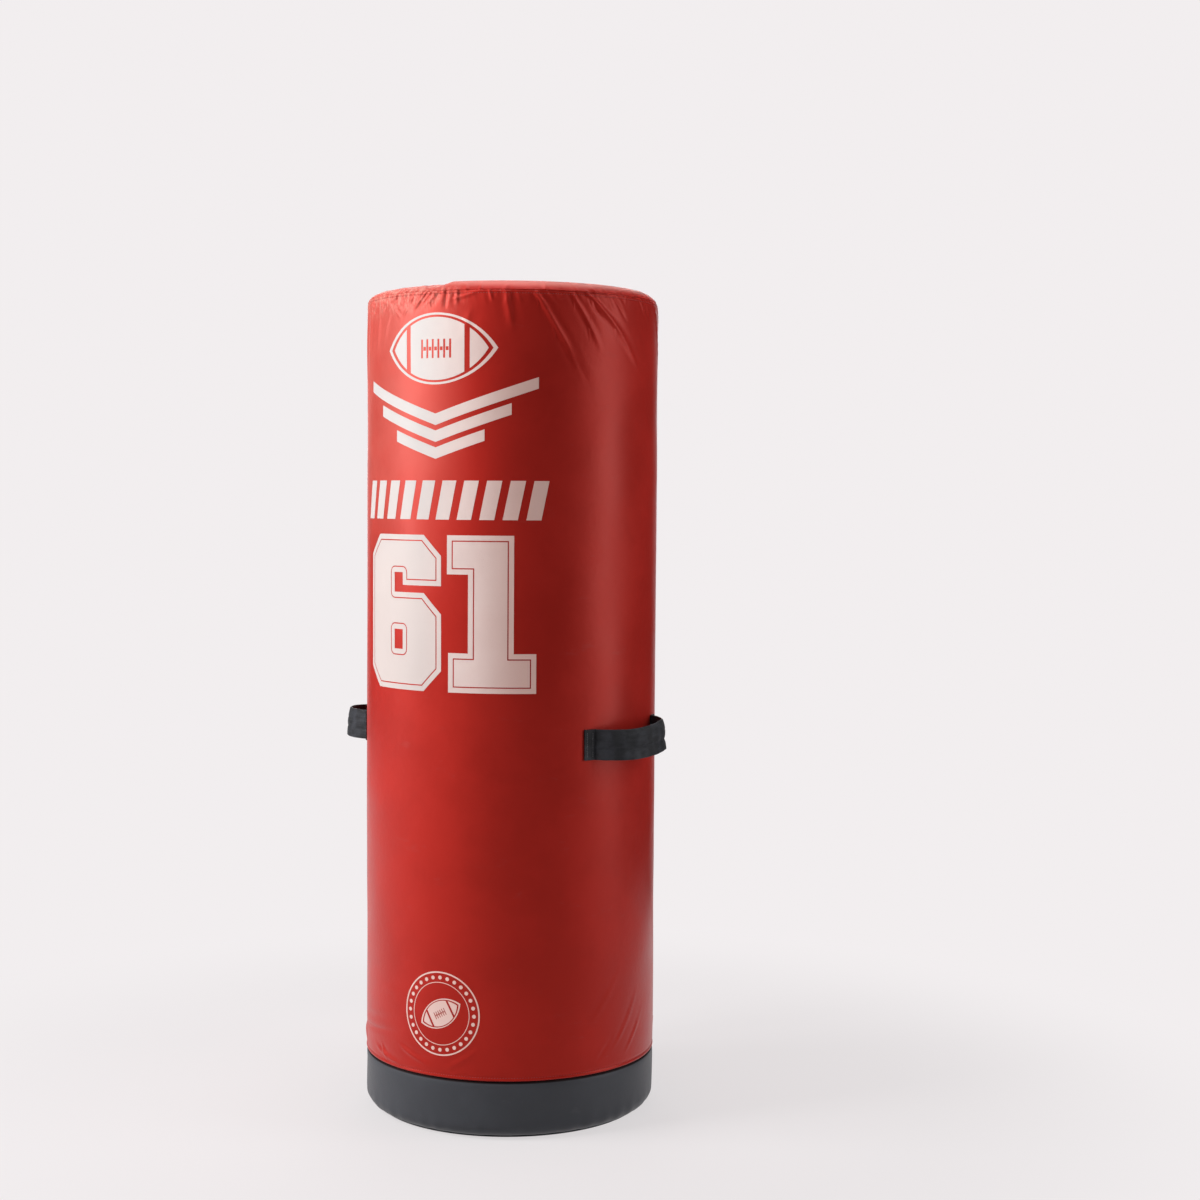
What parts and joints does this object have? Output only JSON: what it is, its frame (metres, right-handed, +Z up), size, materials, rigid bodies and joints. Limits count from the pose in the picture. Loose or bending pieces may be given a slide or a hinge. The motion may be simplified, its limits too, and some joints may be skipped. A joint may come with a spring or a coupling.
{
  "type": "tackling dummy",
  "caption": "Stand-up tackling dummy: a foam-filled vinyl cylinder with a domed top, a reinforced boot, web handles at the sides and a zip down the back.",
  "frame": {"origin": "on the floor, at the middle of the round underside", "axes": "+Z up the dummy's axis; the printed side faces -Y, the handles are at the +X and -X sides and the zip is at +Y"},
  "size_m": [0.5601, 0.4638, 1.2863],
  "materials": {
    "red_vinyl": "semi-gloss coated vinyl with white screen print",
    "boot_vinyl": "satin heavy coated vinyl",
    "firm_foam": "matte bonded foam",
    "soft_foam": "matte open-cell foam",
    "base_foam": "matte closed-cell foam",
    "webbing": "matte ribbed webbing",
    "zip_tape": "matte woven tape",
    "zip_teeth": "satin moulded plastic",
    "zip_metal": "satin nickel plate"
  },
  "bodies": {
    "dummy": {"side_cover": "red_vinyl", "top_cover": "red_vinyl", "zip_top_patch": "red_vinyl", "zip_bottom_patch": "red_vinyl", "boot_wall": "boot_vinyl", "boot_floor": "boot_vinyl", "foam_core": "firm_foam", "foam_sleeve": "soft_foam", "foam_top_pad": "soft_foam", "foam_base_pad": "base_foam", "handle_right_front_end": "webbing", "handle_right_rear_end": "webbing", "handle_right_backing": "webbing", "handle_left_front_end": "webbing", "handle_left_rear_end": "webbing", "handle_left_backing": "webbing", "zip_tape_left": "zip_tape", "zip_tape_right": "zip_tape", "zip_chain": "zip_teeth", "zip_top_stop": "zip_metal", "zip_bottom_stop": "zip_metal"},
    "right_handle": {"handle_right_grip": "webbing"},
    "left_handle": {"handle_left_grip": "webbing"},
    "slider": {"zip_slider": "zip_metal"},
    "pull": {"zip_pull": "zip_metal"}
  },
  "joints": [
    {"name": "right_handle_flex", "type": "hinge", "parent": "dummy", "child": "right_handle", "pos_m": [0.21492, -0.02639, 0.596], "axis": [-0.1219, -0.9925, 0], "range_deg": [-20, 20], "stiffness_Nm_per_rad": 0.3},
    {"name": "left_handle_flex", "type": "hinge", "parent": "dummy", "child": "left_handle", "pos_m": [-0.21492, -0.02639, 0.596], "axis": [-0.1219, 0.9925, 0], "range_deg": [-20, 20], "stiffness_Nm_per_rad": 0.3},
    {"name": "zip_travel", "type": "slide", "parent": "dummy", "child": "slider", "axis": [0, 0, 1], "range_m": [0, 0.986]},
    {"name": "zip_pull_swing", "type": "hinge", "parent": "slider", "child": "pull", "pos_m": [0, 0.23166, 0.1593], "axis": [1, 0, 0], "range_deg": [0, 175]}
  ]
}
